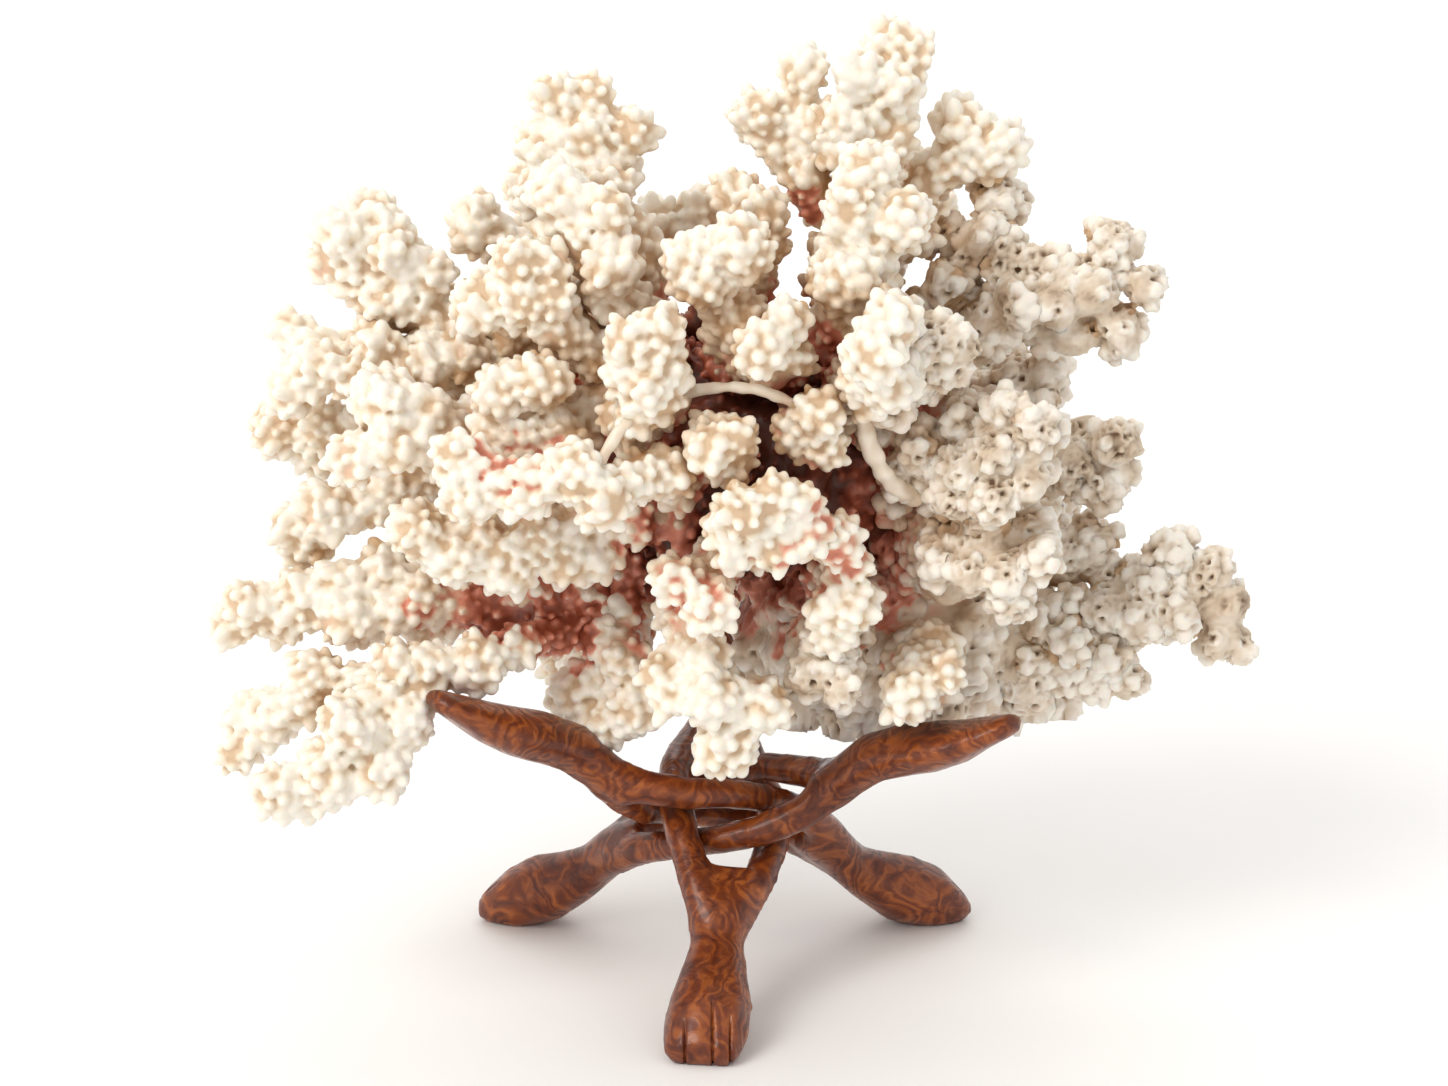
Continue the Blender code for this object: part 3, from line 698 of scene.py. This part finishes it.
# Painted shade: the stems count as less open near their ends, so they darken where they join the
# branches.
skies = [STEM_OPEN - STEM_VARIETY * near for near in near_ends]
mesh = coral_mesh(bm, "coral_stems", rises, stains, skies)
mesh.materials.append(white)
mesh.shade_smooth()
stems = bpy.data.objects.new("coral_stems", mesh)
bpy.context.scene.collection.objects.link(stems)
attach(stems, "root")


# The core is the colony's oldest part. It shows between the branches as a dark red recess with
# blunt beads, and is paler where it lies open at the back. Its colours are a darker copy of the
# white coral's, painted shade for its sunken place, over the red staining.
CORE_BEAD_RADIUS = 2.5 * MM
CORE_BEAD_GAP = 4.7 * MM
CORE_CELL = 1.2 * MM
red = coral_material("coral_red", painted_hollow_shade=(0.50, 0.34, 0.21), side=(0.72, 0.57, 0.41),
                     top=(0.84, 0.74, 0.60), roughness=0.45)
white_branch("coral_core", red, CORE_BEAD_RADIUS, CORE_BEAD_GAP, CORE_CELL)


# The branches on the right are older and worn: greyish white, with blunt knobs, ridges and open
# pits. Painted shade turns them beige lower down the relief and dark brown in the pits, and a
# noise shifts it in patches. The base is one of them, sawn flat underneath.
WORN_CELL = 1.24 * MM
BASE_CELL = 2 * MM
WORN_ROUNDING = 7
WORN_EVENING = 3
WORN_INSET = 3 * MM
WORN_GAP = 4.3 * MM
WORN_REACH = 110 * MM
WORN_LEVEL = 0.45
WORN_FULL_RISE = 4.5 * MM
WORN_STAIN_AND_SHADE = 0.7
KNOB_RADIUS = 2.7 * MM
KNOB_HEIGHT = 2.7 * MM
PIT_RADIUS = 1.3 * MM
PIT_DEPTH = 2.4 * MM
RIM_HEIGHT = 0.8 * MM
RIM_RADIUS = 1.5 * PIT_RADIUS
RIM_WIDTH = 0.6 * PIT_RADIUS
LUMP_WAVE = 8 * MM
LUMP_HEIGHT = 1.6 * MM
RIDGE_WAVE = 2.6 * MM
RIDGE_HEIGHT = 1.3 * MM
PLAIN_RIDGE = 0.5
ZONE_WAVE = 18 * MM
ZONE_EDGE = 0.3
KNOB_ZONE = -0.02
PIT_ZONE = -0.3
SAWN_DEPTH = 3 * MM


def worn_relief(point, away, kind, out):
    """How far worn crust stands out at a point, so far away from the middle of a knob or a pit."""
    lump = LUMP_HEIGHT * noise.noise(point / LUMP_WAVE)
    ridge = RIDGE_HEIGHT * (0.5 - abs(noise.noise(point / RIDGE_WAVE)) * 2) * out
    if kind == "knob":
        return lump + ridge + KNOB_HEIGHT * math.sqrt(max(0, 1 - (away / KNOB_RADIUS) ** 2))
    if kind == "pit":
        pit = PIT_DEPTH * max(0, 1 - (away / PIT_RADIUS) ** 2)
        rim = RIM_HEIGHT * math.exp(-((away - RIM_RADIUS) / RIM_WIDTH) ** 2)
        return lump + ridge + rim - pit
    return lump + PLAIN_RIDGE * ridge


def worn_branch(name, material):
    """A worn branch: its rounded skin with knobs, ridges and pits."""
    chance = np.random.default_rng(sum(name.encode()))
    cell = BASE_CELL if name == "coral_base" else WORN_CELL
    bm = even_skin(name, cell)
    bottom = min(vert.co.z for vert in bm.verts)
    root_in(bm, name)
    smoothed(bm, WORN_ROUNDING)
    slim(bm, WORN_INSET)
    raise_lobes(bm, chance)
    bm = evened(as_mesh(bm, name), cell)
    smoothed(bm, WORN_EVENING)
    places, normals = spots_on(bm, SPOT_ROOM, chance)
    picked = spread(places, WORN_GAP, chance)
    tree = tree_of([places[number] for number in picked])
    kinds = []
    clears = []
    for number in picked:
        zone = noise.noise(places[number] / ZONE_WAVE) + ZONE_EDGE * chance.uniform(-1, 1)
        kinds.append("knob" if zone > KNOB_ZONE else "pit" if zone > PIT_ZONE else "plain")
        clears.append(openness(places[number], normals[number]))
    moves = []
    rises = []
    stains = []
    skies = []
    for vert in bm.verts:
        _, k, away = tree.find(vert.co)
        out = min(1, (vert.co - heart).length / WORN_REACH)
        relief = worn_relief(vert.co, away, kinds[k], out)
        moves.append(vert.normal * relief)
        rises.append(max(0, min(1, WORN_LEVEL + relief / WORN_FULL_RISE)))
        stains.append(WORN_STAIN_AND_SHADE * stain_and_shade_of(vert.co, clears[k]))
        skies.append(clears[k])
    shift(bm, moves)
    for vert in bm.verts:
        if name == "coral_base" and vert.co.z < bottom + SAWN_DEPTH:
            vert.co.z = bottom
    finished(name, coral_mesh(bm, name + "_surface", rises, stains, skies), material)


# Painted shade: the lowest colour, in the pits, is dark brown.
worn = coral_material("coral_worn", painted_hollow_shade=(0.22, 0.13, 0.07), side=(0.66, 0.54, 0.41),
                      top=(0.89, 0.84, 0.76), roughness=0.6)
for name, slot in coral_slots.items():
    if slot == "coral_worn":
        worn_branch(name, worn)


# The studio: a pale floor that runs out of view, a large soft lamp high on the left, one over the
# floor behind, and light all round.
VIEW_TARGET = STAND_AXIS + Vector((0, 0, 156.1)) * MM
VIEW_DISTANCE = 1505 * MM
VIEW_ELEVATION = math.radians(15.8)
VIEW_LENS = 106.9
FLOOR_REACH = 12
FLOOR_GREYS = ((0.3, (0.93, 0.93, 0.93)), (0.7, (0.95, 0.95, 0.95)))
ROUND_LIGHT = (1, 0.985, 0.965, 1)
ROUND_STRENGTH = 0.80


def floor_material():
    material, tree, shader, place = new_material("pale_floor", Roughness=0.6)
    grain = noise_of(tree, place, scale=3, detail=2)
    link(tree, ramp(tree, grain.outputs["Fac"], FLOOR_GREYS), shader.inputs["Base Color"])
    return material


bm = bmesh.new()
bmesh.ops.create_grid(bm, x_segments=2, y_segments=2, size=FLOOR_REACH)
floor = bpy.data.objects.new("floor", as_mesh(bm, "floor"))
floor.data.materials.append(floor_material())
bpy.context.scene.collection.objects.link(floor)


def soft_lamp(name, place, target, size, power, colour):
    """A square soft lamp at place that faces target."""
    lamp = bpy.data.lights.new(name, "AREA")
    lamp.size = size
    lamp.energy = power
    lamp.color = colour
    holder = bpy.data.objects.new(name, lamp)
    holder.location = place
    holder.rotation_euler = (target - Vector(place)).to_track_quat("-Z", "Y").to_euler()
    bpy.context.scene.collection.objects.link(holder)


soft_lamp("key_lamp", place=(-3.8, -3.8, 4.6), target=VIEW_TARGET, size=3.6, power=245,
          colour=(1, 0.955, 0.89))
soft_lamp("back_lamp", place=(0, 3.2, 3.6), target=Vector((0, 2.4, 0)), size=4.0, power=60,
          colour=(1, 0.98, 0.96))

world = bpy.data.worlds.new("studio")
world.use_nodes = True
background = world.node_tree.nodes["Background"]
background.inputs["Color"].default_value = ROUND_LIGHT
background.inputs["Strength"].default_value = ROUND_STRENGTH
bpy.context.scene.world = world
bpy.context.scene.view_settings.view_transform = "Standard"

camera = bpy.data.objects.new("camera", bpy.data.cameras.new("camera"))
camera.data.lens = VIEW_LENS
camera.data.sensor_width = 36
view_way = Vector((0, -math.cos(VIEW_ELEVATION), math.sin(VIEW_ELEVATION)))
camera.location = VIEW_TARGET + VIEW_DISTANCE * view_way
camera.rotation_euler = (math.pi / 2 - VIEW_ELEVATION, 0, 0)
bpy.context.scene.collection.objects.link(camera)
bpy.context.scene.camera = camera
